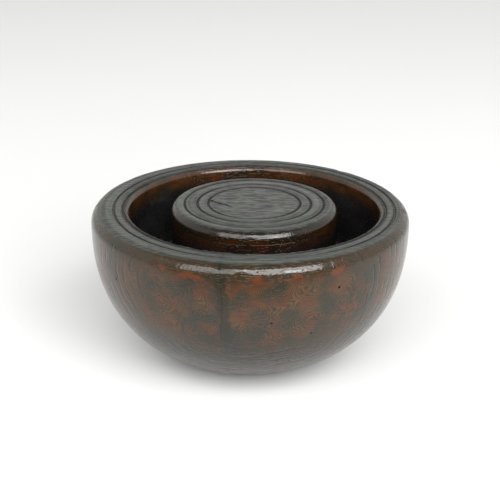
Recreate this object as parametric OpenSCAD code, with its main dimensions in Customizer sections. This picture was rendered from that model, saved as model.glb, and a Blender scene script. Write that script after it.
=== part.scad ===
// Turned wooden shaving bowl: a brush-wide well round a soap pot with a lift-off cap.
// Origin on the table under the middle of the bowl's outside, +Z up, millimetres.

/* [Bowl] */
// Greatest diameter of the outside
bowl_d = 160; // [134:1:200]
// Height of the rim above the table
bowl_h = 80; // [66:1:100]
// Diameter of the flat that the bowl stands on
base_d = 46; // [36:1:60]
// Height of the rounded shoulder outside the rim
shoulder_h = 5.9; // [3:0.1:8]
// Width of the rounded shoulder outside the rim
shoulder_w = 5.5; // [3:0.1:7]
// Fullness of the belly outwards, where 2 is an ellipse
belly_out = 2.22; // [2:0.01:2.6]
// Fullness of the belly downwards, where 2 is an ellipse
belly_down = 2.38; // [2:0.01:2.8]

/* [Rim and well] */
// How far the face was turned off the centre of the outside
face_offset = 2; // [0:0.1:3]
// Width of the rim, from the well to the greatest diameter
rim_w = 17.5; // [14:0.5:21]
// Radius of the lip at the mouth of the well
lip_round = 2.8; // [0.5:0.1:2.8]
// Depth of the well below the rim
well_depth = 42; // [35:1:51]
// Radius where the wall of the well turns into its floor
well_round = 12; // [6:0.5:14]
// Distance from the well's wall to the first ring on the rim
rim_ring_inset = 3.4; // [3:0.1:5]
// Distance from the first ring on the rim to the second
rim_ring_pitch = 4.6; // [2:0.1:5]

/* [Cap] */
// Diameter of the cap
cap_d = 84; // [72:1:102]
// Thickness of the cap above the pot
cap_thick = 6.5; // [5:0.1:8]
// How far the cap stands above the rim of the bowl
cap_proud = 1.7; // [0:0.1:4]
// Radius of the rounded edge on top of the cap
cap_round = 4.4; // [1:0.1:4.5]
// Distance from the cap's edge to the outer ring cut into its top
outer_ring_inset = 7; // [5:0.1:8]
// Distance from the cap's edge to the middle ring
middle_ring_inset = 13.4; // [10:0.1:16]
// Distance from the cap's edge to the inner ring
inner_ring_inset = 18.9; // [17:0.1:30]
// Length of the spigot that goes down into the pot
spigot_len = 6; // [3:0.1:7]
// Thickness of the spigot's wall
spigot_wall = 5.5; // [3:0.1:8]
// Radial clearance of the spigot in the pot
spigot_gap = 0.3; // [0.2:0.05:0.6]

/* [Soap pot] */
// Bore of the pot
pot_bore_d = 66; // [54:1:68]
// How far the cap overhangs the side of the pot
cap_overhang = 0.4; // [0:0.1:1]
// Thickness of the pot's floor
pot_floor = 6; // [4:0.5:8]
// Radius in the corner of the pot's floor
pot_corner = 4; // [1:0.5:6]
// Diameter of the tenon under the pot
tenon_d = 48; // [30:1:60]
// Length of the tenon under the pot
tenon_len = 9; // [5:0.5:12]
// Radial room for glue round the tenon
glue_gap = 0.1; // [0.05:0.05:0.3]

/* [Soap] */
// Height of the cake of soap at its edge
soap_h = 18; // [8:0.5:20]
// How far the brush has worn the middle of the soap
soap_dish = 1.5; // [0.5:0.1:4]
// Shrinkage of the poured soap from the pot's wall
soap_gap = 0.2; // [0.1:0.05:0.5]

/* [Turned rings and edges] */
// Width of each incised ring
ring_w = 1.1; // [0.5:0.1:1.5]
// Depth of each incised ring
ring_depth = 0.7; // [0.2:0.1:0.9]
// Broken edge round the seam between the cap and the pot
edge_break = 0.3; // [0.1:0.1:0.5]

/* [Hidden] */
$fn = 96;
over = 1;
belly_steps = 40;
arc_steps = 10;

bowl_r = bowl_d / 2;
base_r = base_d / 2;
mouth_r = bowl_r - rim_w;
well_floor_z = bowl_h - well_depth;
cap_r = cap_d / 2;
cap_top_z = bowl_h + cap_proud;
seat_z = cap_top_z - cap_thick;
pot_r = cap_r - cap_overhang;
bore_r = pot_bore_d / 2;
pot_floor_z = well_floor_z + pot_floor;
spigot_r = bore_r - spigot_gap;
tenon_r = tenon_d / 2;
recess_r = tenon_r + glue_gap;
soap_r = bore_r - soap_gap;
soap_top_z = pot_floor_z + soap_h;

// Points along a quarter turn, about a centre, between two angles.
function arc(centre, radii, from, to) = [
    for (i = [0 : arc_steps])
    let (a = from + (to - from) * i / arc_steps)
    [centre[0] + radii[0] * cos(a), centre[1] + radii[1] * sin(a)]
];

// The belly is a superellipse that runs from the greatest diameter to the base.
belly_top_z = bowl_h - shoulder_h;
belly_end = acos(pow(base_r / bowl_r, belly_out / 2));
belly_drop = belly_top_z / pow(sin(belly_end), 2 / belly_down);
belly = [
    for (i = [belly_steps : -1 : 1])
    let (a = belly_end * i / belly_steps)
    [bowl_r * pow(cos(a), 2 / belly_out), belly_top_z - belly_drop * pow(sin(a), 2 / belly_down)]
];

// A groove round the face at the given radius, cut down from the given height.
module ring_cut(r, top_z) {
    rotate_extrude()
        polygon([
            [r - ring_w / 2, top_z + over],
            [r - ring_w / 2, top_z],
            [r, top_z - ring_depth],
            [r + ring_w / 2, top_z],
            [r + ring_w / 2, top_z + over]
        ]);
}

module bowl_blank() {
    shoulder_centre = [bowl_r - shoulder_w, belly_top_z];
    rotate_extrude()
        polygon(concat(
            [[0, 0]],
            belly,
            arc(shoulder_centre, [shoulder_w, shoulder_h], 0, 90),
            [[0, bowl_h]]
        ));
}

// The well is cut as a plain dish, and the pot stands in the middle of its floor.
module well_cut() {
    floor_centre = [mouth_r - well_round, well_floor_z + well_round];
    lip_centre = [mouth_r + lip_round, bowl_h - lip_round];
    rotate_extrude()
        polygon(concat(
            [[0, well_floor_z]],
            arc(floor_centre, [well_round, well_round], -90, 0),
            arc(lip_centre, [lip_round, lip_round], 180, 90),
            [[mouth_r + lip_round, bowl_h + over], [0, bowl_h + over]]
        ));
}

module bowl() {
    color([0.24, 0.11, 0.06])
        difference() {
            bowl_blank();
            translate([face_offset, 0, 0]) {
                well_cut();
                translate([0, 0, well_floor_z - tenon_len])
                    cylinder(r = recess_r, h = tenon_len + over);
                for (i = [0, 1])
                    ring_cut(mouth_r + rim_ring_inset + i * rim_ring_pitch, bowl_h);
            }
        }
}

module soap_pot() {
    bore_corner = [bore_r - pot_corner, pot_floor_z + pot_corner];
    color([0.2, 0.09, 0.05])
        translate([face_offset, 0, 0])
            rotate_extrude()
                polygon(concat(
                    [
                        [0, well_floor_z - tenon_len],
                        [tenon_r, well_floor_z - tenon_len],
                        [tenon_r, well_floor_z],
                        [pot_r, well_floor_z],
                        [pot_r, seat_z - edge_break],
                        [pot_r - edge_break, seat_z],
                        [bore_r + edge_break, seat_z],
                        [bore_r, seat_z - edge_break]
                    ],
                    arc(bore_corner, [pot_corner, pot_corner], 0, -90),
                    [[0, pot_floor_z]]
                ));
}

module cap() {
    round_centre = [cap_r - cap_round, cap_top_z - cap_round];
    color([0.27, 0.24, 0.19])
        translate([face_offset, 0, 0])
            difference() {
                rotate_extrude()
                    polygon(concat(
                        [
                            [0, seat_z],
                            [spigot_r - spigot_wall, seat_z],
                            [spigot_r - spigot_wall, seat_z - spigot_len],
                            [spigot_r - edge_break, seat_z - spigot_len],
                            [spigot_r, seat_z - spigot_len + edge_break],
                            [spigot_r, seat_z],
                            [cap_r - edge_break, seat_z],
                            [cap_r, seat_z + edge_break]
                        ],
                        arc(round_centre, [cap_round, cap_round], 0, 90),
                        [[0, cap_top_z]]
                    ));
                for (inset = [outer_ring_inset, middle_ring_inset, inner_ring_inset])
                    ring_cut(cap_r - inset, cap_top_z);
            }
}

module soap_cake() {
    lower_corner = [soap_r - pot_corner, pot_floor_z + pot_corner];
    dish_r = (pow(soap_r, 2) + pow(soap_dish, 2)) / (2 * soap_dish);
    dish_angle = asin(soap_r / dish_r);
    color([0.86, 0.82, 0.7])
        translate([face_offset, 0, 0])
            rotate_extrude()
                polygon(concat(
                    [[0, pot_floor_z]],
                    arc(lower_corner, [pot_corner, pot_corner], -90, 0),
                    arc([0, soap_top_z - soap_dish + dish_r], [dish_r, dish_r], dish_angle - 90, -90)
                ));
}

bowl();
soap_pot();
cap();
soap_cake();
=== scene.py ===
"""A turned burr-wood shaving bowl with a ring-shaped well round a lidded soap pot."""

import math
import bmesh
import bpy
from mathutils import Matrix, Vector, noise
from mathutils.kdtree import KDTree


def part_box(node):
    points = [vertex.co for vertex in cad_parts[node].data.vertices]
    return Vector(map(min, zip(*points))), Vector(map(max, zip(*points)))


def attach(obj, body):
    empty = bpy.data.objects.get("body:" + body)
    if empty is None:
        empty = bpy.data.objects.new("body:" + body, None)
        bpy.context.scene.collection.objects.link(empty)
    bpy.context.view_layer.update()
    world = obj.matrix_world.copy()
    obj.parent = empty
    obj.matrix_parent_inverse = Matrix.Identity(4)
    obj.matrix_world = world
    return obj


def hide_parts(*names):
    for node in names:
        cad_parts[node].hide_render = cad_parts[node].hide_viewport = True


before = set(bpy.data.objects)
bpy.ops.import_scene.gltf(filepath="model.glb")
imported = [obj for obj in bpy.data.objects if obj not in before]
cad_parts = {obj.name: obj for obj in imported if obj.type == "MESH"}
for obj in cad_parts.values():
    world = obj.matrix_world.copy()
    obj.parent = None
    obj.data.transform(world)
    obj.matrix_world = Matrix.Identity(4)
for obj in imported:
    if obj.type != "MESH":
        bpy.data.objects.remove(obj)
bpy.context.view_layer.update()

# --- Camera: a long lens at arm's length from the bowl's front. It looks down over the near
# rim into the well, is aimed a little under the middle of the rim, and leans very slightly. ---
RIM_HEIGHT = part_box("bowl")[1].z
LOOK_DOWN = math.radians(19.93)
AIM_LOWER = math.radians(1.87)
CAMERA_ROLL = math.radians(0.39)
CAMERA_DISTANCE = 0.693
CAMERA_LENS = 98.66
FARTHEST_SEEN = 50.0

camera_data = bpy.data.cameras.new("camera")
camera_data.lens = CAMERA_LENS
camera_data.clip_end = FARTHEST_SEEN
camera = bpy.data.objects.new("camera", camera_data)
bpy.context.scene.collection.objects.link(camera)
away = Vector((0, -math.cos(LOOK_DOWN), math.sin(LOOK_DOWN)))
camera.location = Vector((0, 0, RIM_HEIGHT)) + away * CAMERA_DISTANCE
camera.rotation_mode = "QUATERNION"
pitch = Matrix.Rotation(math.radians(90) - LOOK_DOWN - AIM_LOWER, 4, "X")
roll = Matrix.Rotation(CAMERA_ROLL, 4, "Z")
camera.rotation_quaternion = (pitch @ roll).to_quaternion()
bpy.context.scene.camera = camera
bpy.context.scene.view_settings.view_transform = "Standard"


# --- Studio: a pale floor that runs out of sight, in a room that is bright behind the bowl and
# at its sides and dim overhead and in front. Three soft windows stand behind the camera, and
# a dark card lies on the floor in front of the bowl, where only reflections see it. ---
class Wire:
    """One output socket of a shader node. Arithmetic on it adds the Math nodes that do the same."""

    def __init__(self, socket):
        self.socket = socket
        self.tree = socket.id_data

    def node(self, kind, settings, sockets, output=0):
        """Adds a node with its settings and its sockets' values or links, and gives one output."""
        made = self.tree.nodes.new(kind)
        for name, value in settings.items():
            setattr(made, name, value)
        for name, value in sockets.items():
            if isinstance(value, Wire):
                self.tree.links.new(value.socket, made.inputs[name])
            else:
                made.inputs[name].default_value = value
        return Wire(made.outputs[output])

    def math(self, operation, *others):
        """One Math node, with this socket as its first value."""
        sockets = {place: value for place, value in enumerate((self, *others))}
        return self.node("ShaderNodeMath", {"operation": operation}, sockets)

    def __add__(self, other):
        return self.math("ADD", other)

    __radd__ = __add__

    def __sub__(self, other):
        return self.math("SUBTRACT", other)

    def __rsub__(self, other):
        return self.node("ShaderNodeMath", {"operation": "SUBTRACT"}, {0: other, 1: self})

    def __mul__(self, other):
        return self.math("MULTIPLY", other)

    __rmul__ = __mul__

    def __truediv__(self, other):
        return self.math("DIVIDE", other)

    def __pow__(self, other):
        return self.math("POWER", other)

    def __abs__(self):
        return self.math("ABSOLUTE")

    def clear(self, low, high):
        """0 up to low, 1 from high, and smooth between. With high under low it falls instead."""
        sockets = {"Value": self, "From Min": low, "From Max": high}
        return self.node("ShaderNodeMapRange", {"interpolation_type": "SMOOTHSTEP"}, sockets)

    def mix(self, first, second):
        """This socket as the share of the second colour over the first."""
        sockets = {"Factor": self, 6: first, 7: second}
        return self.node("ShaderNodeMix", {"data_type": "RGBA"}, sockets, 2)

    def grain(self, size, detail=2.0, roughness=0.5, stretch=(1, 1, 1)):
        """Noise of about 0.5 over a place in millimetres, with features about size across."""
        scale = tuple(1 / (size * s) for s in stretch)
        place = self.node("ShaderNodeVectorMath", {"operation": "MULTIPLY"}, {0: self, 1: scale})
        sockets = {"Vector": place, "Scale": 1.0, "Detail": detail, "Roughness": roughness}
        return self.node("ShaderNodeTexNoise", {}, sockets)


def millimetres(material):
    """The place on a piece, in millimetres, and its x, y and z."""
    tree = material.node_tree
    coordinates = tree.nodes.new("ShaderNodeTexCoord")
    place = Wire(coordinates.outputs["Object"])
    place = place.node("ShaderNodeVectorMath", {"operation": "SCALE"}, {0: place, "Scale": 1000.0})
    return place, [place.node("ShaderNodeSeparateXYZ", {}, {0: place}, axis) for axis in range(3)]


def finish(material, wires, constants):
    """Links what varies to the material's shader, sets what is constant, and gives it back."""
    shader = material.node_tree.nodes["Principled BSDF"]
    for socket, wire in wires.items():
        material.node_tree.links.new(wire.socket, shader.inputs[socket])
    for socket, value in constants.items():
        shader.inputs[socket].default_value = value
    return material


def new_material(name):
    """A material with nothing but its Principled shader."""
    material = bpy.data.materials.new(name)
    material.use_nodes = True
    return material


FLOOR_SIZE = 9.0
PAPER_ROUGHNESS = 0.8
PAPER_DULL, PAPER_WHITE = (0.66, 0.66, 0.65, 1), (0.69, 0.69, 0.68, 1)
PAPER_CLOUDS = 400.0
floor_mesh = bmesh.new()
bmesh.ops.create_grid(floor_mesh, x_segments=2, y_segments=2, size=FLOOR_SIZE / 2)
floor_data = bpy.data.meshes.new("floor")
floor_mesh.to_mesh(floor_data)
floor_mesh.free()
floor = bpy.data.objects.new("floor", floor_data)
bpy.context.scene.collection.objects.link(floor)
paper = new_material("white_paper")
paper_place = millimetres(paper)[0]
paper_tone = paper_place.grain(PAPER_CLOUDS).mix(PAPER_DULL, PAPER_WHITE)
floor_data.materials.append(finish(paper, {"Base Color": paper_tone}, {"Roughness": PAPER_ROUGHNESS}))

# The card is a painted dark reflection: only the wax's reflections see it, where it stands for a dim
# floor in front of the bowl. It is black, and fades to the floor's own tone towards its near edge and
# its sides.
CARD_NEAR, CARD_FAR, CARD_HEIGHT = -0.10, -1.5, 0.002
CARD_PALE, CARD_BLACK = (0.67, 0.67, 0.66, 1), (0.02, 0.02, 0.02, 1)
CARD_FADE_NEAR, CARD_FADE_ASIDE = (-110, -250), (690, 480)
card_mesh = bmesh.new()
bmesh.ops.create_grid(card_mesh, x_segments=1, y_segments=1, size=(CARD_NEAR - CARD_FAR) / 2)
bmesh.ops.translate(card_mesh, verts=card_mesh.verts,
                    vec=(0, (CARD_NEAR + CARD_FAR) / 2, CARD_HEIGHT))
card_data = bpy.data.meshes.new("dark_card")
card_mesh.to_mesh(card_data)
card_mesh.free()
dark_card = bpy.data.objects.new("dark_card", card_data)
bpy.context.scene.collection.objects.link(dark_card)
dark_card.visible_camera = dark_card.visible_diffuse = dark_card.visible_shadow = False
reflection_card = new_material("painted_dark_reflection")
card_place, card_axes = millimetres(reflection_card)
card_dark = card_axes[1].clear(*CARD_FADE_NEAR) * abs(card_axes[0]).clear(*CARD_FADE_ASIDE)
card_tone = (card_dark + card_place.grain(50.0) * 0.02).mix(CARD_PALE, CARD_BLACK)
card_data.materials.append(finish(reflection_card, {"Base Color": card_tone}, {"Roughness": PAPER_ROUGHNESS}))

ROOM_SIDES = (0.92, 0.92, 0.90, 1)
ROOM_FRONT = (0.06, 0.06, 0.055, 1)
ROOM_OVERHEAD = (0.30, 0.30, 0.30, 1)
ROOM_PALE = (0.88, 0.88, 0.87, 1)
FRONT_TO_SIDES, SIDES_TO_OVERHEAD = (-0.75, -0.2), (0.62, 0.95)
world = bpy.data.worlds.new("room")
world.use_nodes = True
bpy.context.scene.world = world
direction = Wire(world.node_tree.nodes.new("ShaderNodeTexCoord").outputs["Generated"])
toward_back = direction.node("ShaderNodeSeparateXYZ", {}, {0: direction}, 1)
upward = direction.node("ShaderNodeSeparateXYZ", {}, {0: direction}, 2)
walls = toward_back.clear(*FRONT_TO_SIDES).mix(ROOM_FRONT, ROOM_SIDES)
room = upward.clear(*SIDES_TO_OVERHEAD).mix(walls, ROOM_OVERHEAD)
# Seen directly the room is plain and pale. The wax mirrors its bright and dim parts.
seen_directly = direction.node("ShaderNodeLightPath", {}, {})
room = seen_directly.mix(room, ROOM_PALE)
backdrop = world.node_tree.nodes["Background"]
world.node_tree.links.new(room.socket, backdrop.inputs["Color"])


def window(name, azimuth, elevation, distance, width, height, radiance):
    """A soft window that faces the bowl. Azimuth is from the camera's side, to its right."""
    light = bpy.data.lights.new(name, "AREA")
    light.shape = "RECTANGLE"
    light.size, light.size_y = width, height
    light.energy = radiance * math.pi * width * height
    lamp = bpy.data.objects.new(name, light)
    bpy.context.scene.collection.objects.link(lamp)
    turn, rise = math.radians(azimuth), math.radians(elevation)
    toward = Vector((math.sin(turn) * math.cos(rise), -math.cos(turn) * math.cos(rise), math.sin(rise)))
    lamp.location = toward * distance
    lamp.rotation_mode = "QUATERNION"
    lamp.rotation_quaternion = toward.to_track_quat("Z", "Y")


# Azimuth and elevation in degrees, distance, width and height in metres, and radiance.
WINDOWS = {"window_right": (25, 34, 2.4, 2.1, 2.0, 8.0),
           "window_bright": (31, 25, 2.3, 0.5, 0.45, 8.0),
           "window_left": (-30, 34, 2.4, 1.6, 2.0, 4.4)}
for window_name, window_facts in WINDOWS.items():
    window(window_name, *window_facts)


# --- Bowl: turned from one block of dark burr wood with the grain running from side to side.
# The outside was turned on one centre and the face on another, 2 mm away. It is waxed, with
# beetles' flight holes, three drying cracks and a few knocks on the rim. ---
def arc(centre, radii, start, end, steps):
    """Points along part of a circle or an ellipse, as radius and height."""
    turns = [math.radians(start + (end - start) * i / steps) for i in range(steps + 1)]
    return [(centre[0] + radii[0] * math.cos(a), centre[1] + radii[1] * math.sin(a)) for a in turns]


def straight(start, end, steps):
    """Points along a line, without its last point."""
    return [tuple(a + (b - a) * i / steps for a, b in zip(start, end)) for i in range(steps)]


def ring(radius, top, width, depth, steps=8):
    """Points across a rounded ring cut in a flat face, from the outside in."""
    across = [i / steps for i in range(steps + 1)]
    return [(radius + width * (0.5 - t), top - depth * math.sin(math.pi * t) ** 1.5) for t in across]


def spun(mesh, outline, centre, steps):
    """Spins an outline of radius and height once round the upright line at x = centre."""
    places = [Vector((centre + radius, 0, height)) for radius, height in outline]
    verts = [mesh.verts.new(place) for place in places]
    edges = [mesh.edges.new(pair) for pair in zip(verts, verts[1:])]
    bmesh.ops.spin(mesh, geom=verts + edges, cent=(centre, 0, 0), axis=(0, 0, 1),
                   angle=math.tau, steps=steps, use_merge=True)


def join_up(mesh):
    """Merges the points that meet and turns the faces outwards."""
    bmesh.ops.remove_doubles(mesh, verts=mesh.verts, dist=1e-6)
    bmesh.ops.recalc_face_normals(mesh, faces=mesh.faces)


def sink(mesh, deep, size, seed):
    """Lets the surface wander inwards by up to deep, over lumps about size across."""
    mesh.normal_update()
    shift = Vector((seed, 0, 0))
    for vert in mesh.verts:
        lump = 0.5 + 0.5 * noise.noise(vert.co / size + shift)
        vert.co -= vert.normal * deep * lump


def nearest_points(mesh):
    """A tree that finds the mesh's points by place."""
    tree = KDTree(len(mesh.verts))
    for number, vert in enumerate(mesh.verts):
        tree.insert(vert.co, number)
    tree.balance()
    mesh.verts.ensure_lookup_table()
    return tree


def knock(mesh, tree, place, size, deep):
    """A smooth dent, pressed in at a place on the surface."""
    for _, number, distance in tree.find_range(place, size):
        vert = mesh.verts[number]
        vert.co -= vert.normal * deep * (1 - (distance / size) ** 2) ** 2


def flight_holes(mesh, verts, radius, deep):
    """Beetles' round flight holes: points opened to round faces and sunk straight in. The holes and the
    faces round their mouths take the second material, painted shade.
    """
    inward = [(vert.co.copy(), -vert.normal.copy()) for vert in verts]
    opened = bmesh.ops.bevel(mesh, geom=verts, offset=radius, offset_type="OFFSET", segments=3,
                             profile=0.5, affect="VERTICES", material=-1)
    mouths = bmesh.ops.dissolve_faces(mesh, faces=opened["faces"])["region"]
    for face in bmesh.ops.extrude_discrete_faces(mesh, faces=mouths)["faces"]:
        centre = face.calc_center_median()
        way = min(inward, key=lambda hole: (hole[0] - centre).length)[1]
        bmesh.ops.translate(mesh, verts=face.verts, vec=way * deep)
        for part in {face, *(near for edge in face.edges for near in edge.link_faces)}:
            part.material_index = 1
            for edge in part.edges:
                edge.smooth = False


def crack(mesh, edges, width, deep):
    """A drying crack: a line of edges opened to a narrow cut with a deep middle."""
    opened = bmesh.ops.bevel(mesh, geom=edges, offset=width / 2, offset_type="OFFSET", segments=2,
                             profile=0.5, affect="EDGES", material=-1)
    cut = set(opened["faces"])
    middle = [v for v in opened["verts"] if all(face in cut for face in v.link_faces)]
    mesh.normal_update()
    for vert in middle:
        vert.co -= vert.normal * deep
    for edge in opened["edges"]:
        if edge.is_valid and len([f for f in edge.link_faces if f in cut]) == 1:
            edge.smooth = False


def piece(name, mesh, body, node, slot, *materials):
    """Makes the finished mesh a smooth object that stands for its CAD node and moves with its body."""
    for face in mesh.faces:
        face.smooth = True
    data = bpy.data.meshes.new(name)
    mesh.to_mesh(data)
    mesh.free()
    for material in materials:
        data.materials.append(material)
    made = bpy.data.objects.new(name, data)
    bpy.context.scene.collection.objects.link(made)
    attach(made, body)
    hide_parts(node)


MM = 0.001
bowl_low, bowl_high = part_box("bowl")
cap_low, cap_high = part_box("cap")
BOWL_R = (bowl_high.x - bowl_low.x) / 2
FACE_X = (cap_low.x + cap_high.x) / 2
BASE_R = 23 * MM
SHOULDER_W, SHOULDER_H = 5.5 * MM, 5.9 * MM
BELLY_OUT, BELLY_DOWN = 2.22, 2.38
MOUTH_R = BOWL_R - 17.5 * MM
LIP_ROUND = 2.8 * MM
WELL_FLOOR = RIM_HEIGHT - 42 * MM
WELL_ROUND = 12 * MM
RECESS_R, RECESS_DEEP = 24.1 * MM, 9 * MM
RING_W, RING_DEEP = 1.1 * MM, 0.7 * MM
RIM_RINGS = (MOUTH_R + 8 * MM, MOUTH_R + 3.4 * MM)
BOWL_STEPS = 288

belly_top = RIM_HEIGHT - SHOULDER_H
belly_end = math.acos((BASE_R / BOWL_R) ** (BELLY_OUT / 2))
belly_drop = belly_top / math.sin(belly_end) ** (2 / BELLY_DOWN)
BELLY_STEPS = 84
belly = []
for i in range(BELLY_STEPS, 0, -1):
    turn = belly_end * i / BELLY_STEPS
    belly.append((BOWL_R * math.cos(turn) ** (2 / BELLY_OUT),
                  belly_top - belly_drop * math.sin(turn) ** (2 / BELLY_DOWN)))
flat_edge = BOWL_R - SHOULDER_W
rim_edge = RIM_RINGS[0] + RING_W
outside = straight((0, 0), (BASE_R, 0), 12) + belly
outside += arc((flat_edge, belly_top), (SHOULDER_W, SHOULDER_H), 0, 90, 18)
inside = [(rim_edge, RIM_HEIGHT)]
for radius in RIM_RINGS:
    inside += ring(radius, RIM_HEIGHT, RING_W, RING_DEEP)
    inside.append((radius - RING_W, RIM_HEIGHT))
inside += arc((MOUTH_R + LIP_ROUND, RIM_HEIGHT - LIP_ROUND), (LIP_ROUND, LIP_ROUND), 90, 180, 8)
wall_foot = (MOUTH_R, WELL_FLOOR + WELL_ROUND)
inside += straight((MOUTH_R, RIM_HEIGHT - LIP_ROUND), wall_foot, 14)[1:]
inside += arc((MOUTH_R - WELL_ROUND, wall_foot[1]), (WELL_ROUND, WELL_ROUND), 0, -90, 12)
inside += straight((MOUTH_R - WELL_ROUND, WELL_FLOOR), (RECESS_R, WELL_FLOOR), 12)[1:]
inside += [(RECESS_R, WELL_FLOOR), (RECESS_R, WELL_FLOOR - RECESS_DEEP), (0, WELL_FLOOR - RECESS_DEEP)]

bowl_mesh = bmesh.new()
spun(bowl_mesh, outside, 0, BOWL_STEPS)
spun(bowl_mesh, inside, FACE_X, BOWL_STEPS)
join_up(bowl_mesh)
open_edges = [edge for edge in bowl_mesh.edges if edge.is_boundary]
bmesh.ops.bridge_loops(bowl_mesh, edges=open_edges)
join_up(bowl_mesh)


def belly_place(azimuth, height):
    """A point on the bowl's outside, with azimuth from the front towards the right."""
    turn = math.radians(azimuth)
    if height > belly_top:
        lean = math.sqrt(1 - ((height - belly_top) / SHOULDER_H) ** 2)
        radius = flat_edge + SHOULDER_W * lean
    else:
        fall = ((belly_top - height) / belly_drop) ** BELLY_DOWN
        radius = BOWL_R * (1 - fall) ** (1 / BELLY_OUT)
    return Vector((radius * math.sin(turn), -radius * math.cos(turn), height))


def meridian(azimuth, low, high):
    """The edges that run up the bowl's outside nearest to an azimuth, between two heights."""
    nearest = round((azimuth - 90) / 360 * BOWL_STEPS) / BOWL_STEPS * math.tau
    line = Vector((math.cos(nearest), math.sin(nearest), 0))
    across = Vector((-line.y, line.x, 0))

    def on_it(vert):
        outer = vert.co.to_2d().length > flat_edge - MM or vert.co.z < WELL_FLOOR / 2
        return (abs(vert.co.dot(across)) < 1e-5 and vert.co.dot(line) > 0 and outer
                and low < vert.co.z < high)
    verts = {vert for vert in bowl_mesh.verts if on_it(vert)}
    edges = [edge for edge in bowl_mesh.edges if all(v in verts for v in edge.verts)]
    for vert in verts:
        vert.co += across * CRACK_WANDER * noise.noise(vert.co * CRACK_BENDS)
    return edges


sink(bowl_mesh, deep=0.22 * MM, size=28 * MM, seed=3)
sink(bowl_mesh, deep=0.10 * MM, size=8 * MM, seed=11)
# Azimuth in degrees, then height, size and depth in millimetres.
KNOCKS = [(87, 79.3, 3.0, 0.7), (-91, 79.4, 2.6, 0.4), (-32, 77.0, 3.4, 0.35), (28, 77.2, 3.0, 0.3),
          (-10, 78.6, 3.2, 0.35), (140, 78.0, 5.0, 0.5), (212, 77.5, 4.0, 0.4)]
bowl_points = nearest_points(bowl_mesh)
for azimuth, height, size, deep in KNOCKS:
    knock(bowl_mesh, bowl_points, belly_place(azimuth, height * MM), size * MM, deep * MM)
# Azimuth in degrees, and the heights in millimetres between which the crack runs.
FRONT_CRACK, SIDE_CRACK, BACK_CRACK = (-10, 14, 79.9), (45.5, 33, 58), (174, 30, 79.9)
CRACK_W, CRACK_DEEP = 0.16 * MM, 0.4 * MM
CRACK_WANDER, CRACK_BENDS = 1.6 * MM, 55
for azimuth, low, high in (FRONT_CRACK, SIDE_CRACK, BACK_CRACK):
    crack(bowl_mesh, meridian(azimuth, low * MM, high * MM), CRACK_W, CRACK_DEEP)
# For each radius in millimetres, azimuths in degrees and heights in millimetres.
HOLES = {1.0: [(2.8, 77.2), (-53.5, 58.8), (30.8, 65), (157, 35), (95, 52), (236, 44)],
         0.7: [(7.5, 50), (22.5, 42.2), (11.2, 25.2), (-7, 17.5), (128, 66), (200, 58), (262, 68)],
         0.5: [(26.3, 78.6), (17.8, 76.5), (-34.8, 24), (-33, 25.5), (133, 61), (241, 47)]}
HOLE_DEEP = 3 * MM
for radius, places in HOLES.items():
    bowl_mesh.normal_update()
    bowl_points = nearest_points(bowl_mesh)
    nearest = [bowl_points.find(belly_place(azimuth, height * MM))[1] for azimuth, height in places]
    flight_holes(bowl_mesh, [bowl_mesh.verts[number] for number in nearest], radius * MM, HOLE_DEEP)


# The wood's tones, from the islands between its eyes to the wear and dirt of use, and the painted shade
# inside the well.
ISLAND_DARK, ISLAND_LINE = (0.0125, 0.0140, 0.0080, 1), (0.026, 0.0215, 0.0120, 1)
PLAIN_BROWN = (0.0300, 0.0160, 0.0055, 1)
RED_LINE, GOLDEN_LINE = (0.084, 0.0235, 0.0065, 1), (0.076, 0.037, 0.0110, 1)
OLIVE_BAND, RUBBED_RED = (0.0190, 0.0125, 0.0040, 1), (0.095, 0.0220, 0.0030, 1)
LOW_BROWN = (0.0150, 0.0130, 0.0080, 1)
PORE_BLACK, WINTER_BLACK = (0.003, 0.0028, 0.002, 1), (0.0035, 0.0033, 0.0025, 1)
MINERAL_OLIVE = (0.0100, 0.0105, 0.0055, 1)
FACE_BLACK, FACE_GREY = (0.0020, 0.0027, 0.0018, 1), (0.029, 0.033, 0.0245, 1)
RAISED_GREY, FACE_PORE = (0.062, 0.066, 0.052, 1), (0.002, 0.002, 0.002, 1)
RING_WAX_AND_SHADE, SPLIT_BLACK = (0.0015, 0.0015, 0.0012, 1), (0.0012, 0.0011, 0.0009, 1)
WELL_SHADE_BROWN, WELL_RED = (0.006, 0.0025, 0.0015, 1), (0.062, 0.0185, 0.0040, 1)
WELL_SHADE_BLACK = (0.0055, 0.0052, 0.0055, 1)
# Widths in millimetres of the fine layers, the dark winter layers and the raised ones.
LAYER_W, WINTER_W, RAISED_W = 0.72, 4.3, 2.9
EYES_PER_MM = 0.055


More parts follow.
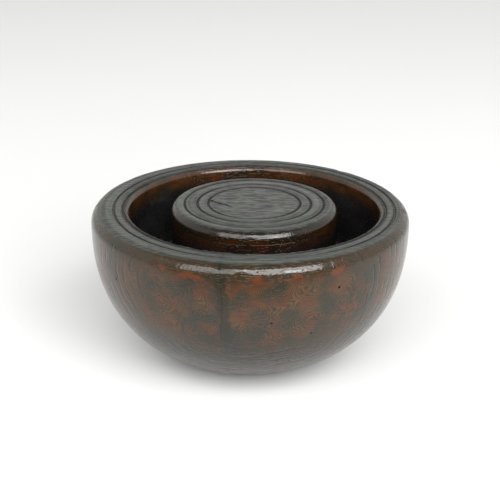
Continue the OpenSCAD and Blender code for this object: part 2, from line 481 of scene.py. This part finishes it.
def burr(name, swirl_low, swirl_high, top, rings, face_x,
         dark_under=None, well_shade=1.0, band=None, splits=()):
    """Dark waxed burr wood, whose growth layers stand upright and face the front.

    All sizes are in millimetres. Its eyes and swirls are strongest between the two heights.
    From the height top up it has a flat turned face round x = face_x, blackened by years of
    damp, with incised rings at the given radii, black partly with wax packed in the cuts and
    partly with painted shade. Inside the well it is darkened by painted shade: redder near the
    top, and painted black under the height dark_under. The factor sides is painted shade as well:
    it dims the whole tone of a piece that stands in the well; band is the place of a dark mineral
    stripe down the front, and splits are short cracks in the face, each from one place to another.
    """
    material = new_material(name)
    place, (x, y, z) = millimetres(material)
    x_face = x - face_x
    radius = (x_face * x_face + y * y) ** 0.5

    # Growth layers, bent by lumps of three sizes and most of all round the burr's eyes.
    swirl = z.clear(swirl_low - 10, swirl_low + 10) * z.clear(swirl_high + 3, swirl_high - 6)
    large = place.grain(26.0, 0.0) - 0.5
    middle = place.grain(11.0, 1.0) - 0.5
    small = place.grain(4.0, 1.0) - 0.5
    bent = place.node("ShaderNodeVectorMath", {"operation": "SCALE"}, {0: place, "Scale": EYES_PER_MM})
    eyes = bent.node("ShaderNodeTexVoronoi", {"feature": "SMOOTH_F1"},
                     {"Vector": bent, "Scale": 1.0, "Smoothness": 0.9})
    layers = y + large * (9 + 20 * swirl) + middle * (3 + 5 * swirl) + small * (0.6 + 0.9 * swirl)
    layers = layers + eyes * swirl * 18
    saw = (layers / LAYER_W).math("FRACT")
    line = saw.clear(0.1, 0.6) * saw.clear(1.0, 0.75)

    # Dark islands among the red and golden figure, and pores and dashes along the grain.
    patch = place.grain(10.0, 2.0, 0.5, (1, 1, 0.9)).clear(0.30, 0.66)
    golden = place.grain(6.0, 2.0, 0.5).clear(0.42, 0.62)
    pores = place.grain(0.9, 2.0, 0.6, (8, 0.6, 0.6)).clear(0.58, 0.66)
    dashes = place.grain(1.5, 2.0, 0.6, (6, 0.9, 0.6)).clear(0.50, 0.58)
    low = z.clear(swirl_low + 6, swirl_low - 16)
    ground = patch.mix(ISLAND_DARK, PLAIN_BROWN)
    lined = patch.mix(ISLAND_LINE, golden.mix(RED_LINE, GOLDEN_LINE))
    wood = (line * (0.30 + 0.50 * swirl)).mix(ground, lined)

    # Under the rim: an olive band of old wax, rubbed through to red by the hands.
    olive = z.clear(top - 11, top - 4)
    wood = (olive * 0.6).mix(wood, OLIVE_BAND)
    rubbed = z.clear(top - 10, top - 6.5) * z.clear(top - 3.5, top - 5)
    rubbed = rubbed * place.grain(5.0, 2.0, 0.5, (1.5, 1.5, 1)).clear(0.48, 0.68) * abs(x).clear(54, 40)
    wood = (rubbed * 0.8).mix(wood, RUBBED_RED)

    # Low down and at the sides the plain layers show as dark winter lines.
    wood = (low * 0.60).mix(wood, LOW_BROWN)
    wood = (pores * 0.5 + dashes * (0.12 + 0.45 * low)).mix(wood, PORE_BLACK)
    plain_layers = ((y + large * 10 + middle * 3 + small * 1.2) / WINTER_W).math("FRACT")
    winter = plain_layers.clear(0.0, 0.12) * plain_layers.clear(0.42, 0.16)
    winter = winter * place.grain(9.0, 2.0, 0.6, (2, 1, 1)).clear(0.40, 0.60)
    beside = abs(x).clear(38, 62)
    winter = winter * (beside + low - beside * low)
    wood = (winter * 0.75).mix(wood, WINTER_BLACK)
    if band is not None:
        stripe = abs(x - band - (76 - z) * 0.09 + small * 5).clear(3.2, 1.6) * y.clear(-10, -30)
        wood = (stripe * 0.8).mix(wood, MINERAL_OLIVE)
    # Painted shade: the whole tone of a piece that stands in the well is dimmed by this factor.
    wood = wood.node("ShaderNodeMix", {"data_type": "RGBA", "blend_type": "MULTIPLY"},
                     {"Factor": 1.0, 6: wood, 7: (well_shade, well_shade * 0.95, well_shade, 1)}, 2)

    # The flat face: turning lines further out, fibres in the middle, and raised hard layers.
    face = z.clear(top - 0.9, top - 0.4)
    turning = radius.node("ShaderNodeCombineXYZ", {}, {0: radius, 1: x * 0.012, 2: y * 0.012})
    turned = turning.grain(1.7, 3.0, 0.65).clear(0.40, 0.58)
    fibres = place.grain(1.0, 2.0, 0.6, (6, 1.5, 1)).clear(0.42, 0.58)
    raised = ((y + middle * 6 + small * 2) / RAISED_W).math("FRACT")
    raised = raised.clear(0.0, 0.5) * raised.clear(1.0, 0.6) * place.grain(6.0, 1.0).clear(0.38, 0.6)
    share = 0.70 * radius.clear(17, 26)
    streaked = turned * share + fibres * (1 - share)
    blackened = streaked.mix(FACE_BLACK, FACE_GREY)
    blackened = (raised * 0.45).mix(blackened, RAISED_GREY)
    blackened = (pores * 0.7).mix(blackened, FACE_PORE)
    wood = face.mix(wood, blackened)
    # The incised rings are painted black: partly wax packed in the cuts, partly painted shade in them.
    cut = 0
    for ring_radius in rings:
        cut = cut + abs(radius - ring_radius + small * 0.6).clear(1.05, 0.45)
    cut = cut * face * (0.6 + 0.4 * place.grain(9.0, 2.0).clear(0.35, 0.6))
    wood = cut.mix(wood, RING_WAX_AND_SHADE)
    for (x1, y1), (x2, y2) in splits:
        length = math.hypot(x2 - x1, y2 - y1)
        along = ((x - x1) * (x2 - x1) + (y - y1) * (y2 - y1)) / length
        aside = abs(((y - y1) * (x2 - x1) - (x - x1) * (y2 - y1)) / length + small * 2.4)
        split = aside.clear(0.9, 0.3) * along.clear(-0.5, 0.8) * along.clear(length + 0.5, length - 2)
        wood = (split * z.clear(top - 4, top - 3)).mix(wood, SPLIT_BLACK)

    # Inside the well: painted shade. The wood is darkened to brown, is redder near the top, and is
    # painted black further down.
    if dark_under is not None:
        inside = radius.clear(MOUTH_R / MM + 2.6, MOUTH_R / MM + 1.4) * z.clear(24, 26)
        wood = (inside * 0.45).mix(wood, WELL_SHADE_BROWN)
        warm = place.grain(8.0, 2.0, 0.6, (1.6, 1.6, 1)).clear(0.36, 0.60)
        warm = inside * z.clear(top - 10, top - 6) * warm
        wood = (warm * 0.42 * well_shade).mix(wood, WELL_RED)
        deep_shade = z.clear(dark_under + 4, dark_under - 6) * inside
        wood = deep_shade.mix(wood, WELL_SHADE_BLACK)

    gloss = 0.05 + 0.08 * place.grain(6.0, 3.0) + 0.25 * pores
    gloss = gloss + face * (0.36 - 0.16 * streaked) + cut * 0.3
    height = place.grain(3.0, 3.0, 0.55) * 0.35 - pores * 0.18 - (dashes * low + winter) * 0.5
    height = height + line * 0.05 + face * (turned * share * 0.85 + fibres * 0.25 + raised * 0.4)
    bump = height.node("ShaderNodeBump", {}, {"Strength": 0.6, "Distance": 0.00035, "Height": height})
    return finish(material, {"Base Color": wood, "Roughness": gloss, "Normal": bump}, {"IOR": 1.5})


RIM_MM, FACE_MM = RIM_HEIGHT / MM, FACE_X / MM
rim_ring_places = [radius / MM for radius in RIM_RINGS]
rim_splits = [((-12.3, -62), (-13.2, -72)), ((9, 60), (9.8, 66)), ((-52, 39), (-58, 45))]
bowl_wood = burr("bowl_burr", swirl_low=40, swirl_high=74, top=RIM_MM, rings=rim_ring_places,
                 face_x=FACE_MM, dark_under=73, band=-13.5, splits=rim_splits)
# Inside the flight holes and round their mouths: painted shade, near black and without shine.
HOLE_SHADE_BLACK, HOLE_SHADE_BROWN = (0.0015, 0.0012, 0.001, 1), (0.006, 0.0045, 0.003, 1)
hole_shade = new_material("hole_shade")
hole_shade_tone = millimetres(hole_shade)[0].grain(0.6).mix(HOLE_SHADE_BLACK, HOLE_SHADE_BROWN)
finish(hole_shade, {"Base Color": hole_shade_tone}, {"Roughness": 1.0, "Specular IOR Level": 0.0})
piece("bowl_turned", bowl_mesh, "bowl", "bowl", "bowl_wood", bowl_wood, hole_shade)


# --- Soap pot: turned by itself from the same wood, with a tenon glued into the bowl's floor.
# Its wall ends in a flat seat for the cap. Standing in the well, it is dimmed by painted shade and
# painted black further down. ---
pot_low, pot_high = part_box("soap_pot")
POT_R = (pot_high.x - pot_low.x) / 2
SEAT = pot_high.z
POT_FOOT = pot_low.z
TENON_R = 24 * MM
BORE_R = 33 * MM
POT_FLOOR = WELL_FLOOR + 6 * MM
POT_CORNER = 4 * MM
EDGE = 0.3 * MM
POT_STEPS = 192
pot_outline = straight((0, POT_FOOT), (TENON_R, POT_FOOT), 6)
pot_outline += [(TENON_R, POT_FOOT), (TENON_R, WELL_FLOOR)]
pot_outline += straight((POT_R, WELL_FLOOR), (POT_R, SEAT - EDGE), 22)
pot_outline += arc((POT_R - EDGE, SEAT - EDGE), (EDGE, EDGE), 0, 90, 4)
pot_outline += arc((BORE_R + EDGE, SEAT - EDGE), (EDGE, EDGE), 90, 180, 4)
pot_outline += straight((BORE_R, SEAT - EDGE), (BORE_R, POT_FLOOR + POT_CORNER), 16)[1:]
pot_outline += arc((BORE_R - POT_CORNER, POT_FLOOR + POT_CORNER), (POT_CORNER, POT_CORNER), 0, -90, 8)
pot_outline += [(0, POT_FLOOR)]
pot_mesh = bmesh.new()
spun(pot_mesh, pot_outline, FACE_X, POT_STEPS)
join_up(pot_mesh)
sink(pot_mesh, deep=0.06 * MM, size=12 * MM, seed=5)
# Painted shade: the pot and the cap stand in the well, so their wood is dimmed to this share of the
# bowl's tone.
WELL_SHADE_SHARE = 0.35  # the pot's and the cap's wood beside the bowl's
pot_wood = burr("pot_burr", swirl_low=60, swirl_high=76, top=SEAT / MM + 3, rings=[],
                face_x=FACE_MM, dark_under=72, well_shade=WELL_SHADE_SHARE)
piece("soap_pot_turned", pot_mesh, "bowl", "soap_pot", "pot_wood", pot_wood)


# --- Cap: the pot's lift-off lid, turned from the same wood with three rings cut in its top
# and a spigot below that drops into the pot. Its flat top is worn matt and nearly black. ---
CAP_R = (cap_high.x - cap_low.x) / 2
CAP_TOP = cap_high.z
CAP_ROUND = 4.4 * MM
SPIGOT_R = BORE_R - 0.3 * MM
SPIGOT_WALL = 5.5 * MM
SPIGOT_FOOT = cap_low.z
CAP_RINGS = (CAP_R - 7 * MM, CAP_R - 13.4 * MM, CAP_R - 18.9 * MM)
CAP_STEPS = 256
hollow_r = SPIGOT_R - SPIGOT_WALL
cap_outline = straight((0, SEAT), (hollow_r, SEAT), 8)
cap_outline += straight((hollow_r, SEAT), (hollow_r, SPIGOT_FOOT), 5)
cap_outline += [(hollow_r, SPIGOT_FOOT), (hollow_r + EDGE, SPIGOT_FOOT)]
cap_outline += arc((SPIGOT_R - EDGE, SPIGOT_FOOT + EDGE), (EDGE, EDGE), -90, 0, 3)
cap_outline += straight((SPIGOT_R, SPIGOT_FOOT + EDGE), (SPIGOT_R, SEAT), 5)[1:]
cap_outline += straight((SPIGOT_R, SEAT), (CAP_R - EDGE, SEAT), 6)
cap_outline += arc((CAP_R - EDGE, SEAT + EDGE), (EDGE, EDGE), -90, 0, 4)
cap_outline += arc((CAP_R - CAP_ROUND, CAP_TOP - CAP_ROUND), (CAP_ROUND, CAP_ROUND), 0, 90, 16)
for radius in CAP_RINGS:
    cap_outline.append((radius + 2 * RING_W, CAP_TOP))
    cap_outline += ring(radius, CAP_TOP, RING_W, RING_DEEP)
cap_outline += straight((CAP_RINGS[-1] - RING_W, CAP_TOP), (0, CAP_TOP), 12) + [(0, CAP_TOP)]
cap_mesh = bmesh.new()
spun(cap_mesh, cap_outline, FACE_X, CAP_STEPS)
join_up(cap_mesh)

FISSURE_FROM, FISSURE_TO = Vector((-21.6, 4.6, 0)) * MM, Vector((-9.0, -5.6, 0)) * MM
FISSURE_REACH = 24 * MM
FISSURE_W, FISSURE_DEEP = 1.3 * MM, 1.1 * MM
FISSURE_WANDER, FISSURE_BENDS = 0.7 * MM, 300
fissure = FISSURE_TO - FISSURE_FROM
fissure_top = [v for v in cap_mesh.verts if v.co.z > CAP_TOP - RING_DEEP / 4 and
               (v.co.xy - FISSURE_FROM.xy).length < FISSURE_REACH]
top_faces = {face for v in fissure_top for face in v.link_faces}
top_edges = {edge for face in top_faces for edge in face.edges}
top_verts = {v for face in top_faces for v in face.verts}
bisected = bmesh.ops.bisect_plane(cap_mesh, geom=[*top_verts, *top_edges, *top_faces], dist=1e-6,
                                  plane_co=FISSURE_FROM, plane_no=(-fissure.y, fissure.x, 0))


def in_fissure(vert):
    """Whether a point lies between the fissure's two ends."""
    along = (vert.co.xy - FISSURE_FROM.xy).dot(fissure.xy) / fissure.length_squared
    return 0 < along < 1


cut_edges = [e for e in bisected["geom_cut"] if isinstance(e, bmesh.types.BMEdge)
             and all(in_fissure(v) for v in e.verts)]
side_step = Vector((-fissure.y, fissure.x, 0)).normalized()
for vert in {v for edge in cut_edges for v in edge.verts}:
    vert.co += side_step * FISSURE_WANDER * noise.noise(vert.co * FISSURE_BENDS)
crack(cap_mesh, cut_edges, FISSURE_W, FISSURE_DEEP)
sink(cap_mesh, deep=0.05 * MM, size=10 * MM, seed=7)
cap_ring_places = [radius / MM for radius in CAP_RINGS]
cap_splits = [((-22, 4.8), (-8.5, -6)), ((-20, 3), (-14.5, 1.8)), ((-17, -1.5), (-11, -2.5))]
# The cap's sides take the same painted shade of the well.
cap_wood = burr("cap_burr", swirl_low=60, swirl_high=79, top=CAP_TOP / MM, rings=cap_ring_places,
                face_x=FACE_MM, well_shade=WELL_SHADE_SHARE, splits=cap_splits)
piece("cap_turned", cap_mesh, "cap", "cap", "cap_wood", cap_wood)


# --- Soap: hard cream soap, poured into the pot while soft. The brush has worn its top to a
# shallow dish and left its strokes there, and its edge is stained by the wood. ---
soap_low, soap_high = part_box("soap_cake")
SOAP_R = (soap_high.x - soap_low.x) / 2
SOAP_DISH = 1.5 * MM
SOAP_STEPS = 160
SOAP_DEEP, SOAP_PALE = (0.34, 0.26, 0.14, 1), (0.46, 0.38, 0.24, 1)
SOAP_STAIN = (0.22, 0.15, 0.07, 1)
dish_r = (SOAP_R ** 2 + SOAP_DISH ** 2) / (2 * SOAP_DISH)
dish_turn = math.degrees(math.asin(SOAP_R / dish_r))
soap_outline = straight((0, soap_low.z), (SOAP_R - POT_CORNER, soap_low.z), 4)
soap_outline += arc((SOAP_R - POT_CORNER, soap_low.z + POT_CORNER), (POT_CORNER, POT_CORNER), -90, 0, 8)
soap_outline += straight((SOAP_R, soap_low.z + POT_CORNER), (SOAP_R, soap_high.z - MM), 6)[1:]
soap_outline += arc((SOAP_R - MM, soap_high.z - MM), (MM, MM * 0.94), 0, 80, 4)
soap_outline += arc((0, soap_high.z - SOAP_DISH + dish_r), (dish_r, dish_r), dish_turn - 91, -90, 24)[1:]
soap_mesh = bmesh.new()
spun(soap_mesh, soap_outline, FACE_X, SOAP_STEPS)
join_up(soap_mesh)
soap_material = new_material("soap_paste")
soap_place, (soap_x, soap_y, _) = millimetres(soap_material)
soap_r = ((soap_x - FACE_MM) * (soap_x - FACE_MM) + soap_y * soap_y) ** 0.5
lather = soap_place.grain(9.0, 3.0, 0.6).clear(0.35, 0.65)
soap_tone = lather.mix(SOAP_DEEP, SOAP_PALE)
soap_tone = (soap_r.clear(27, 33) * 0.5).mix(soap_tone, SOAP_STAIN)
swept = soap_r.node("ShaderNodeCombineXYZ", {}, {0: soap_r, 1: soap_x * 0.08, 2: soap_y * 0.08})
swept = swept.grain(1.6, 3.0, 0.6)
soap_bump = swept.node("ShaderNodeBump", {}, {"Strength": 0.8, "Distance": 0.0009, "Height": swept})
soap_gloss = 0.34 + 0.25 * swept
finish(soap_material, {"Base Color": soap_tone, "Roughness": soap_gloss, "Normal": soap_bump},
       {"Subsurface Weight": 0.1, "Subsurface Radius": (0.004, 0.003, 0.002)})
piece("soap_cake_poured", soap_mesh, "bowl", "soap_cake", "shaving_soap", soap_material)
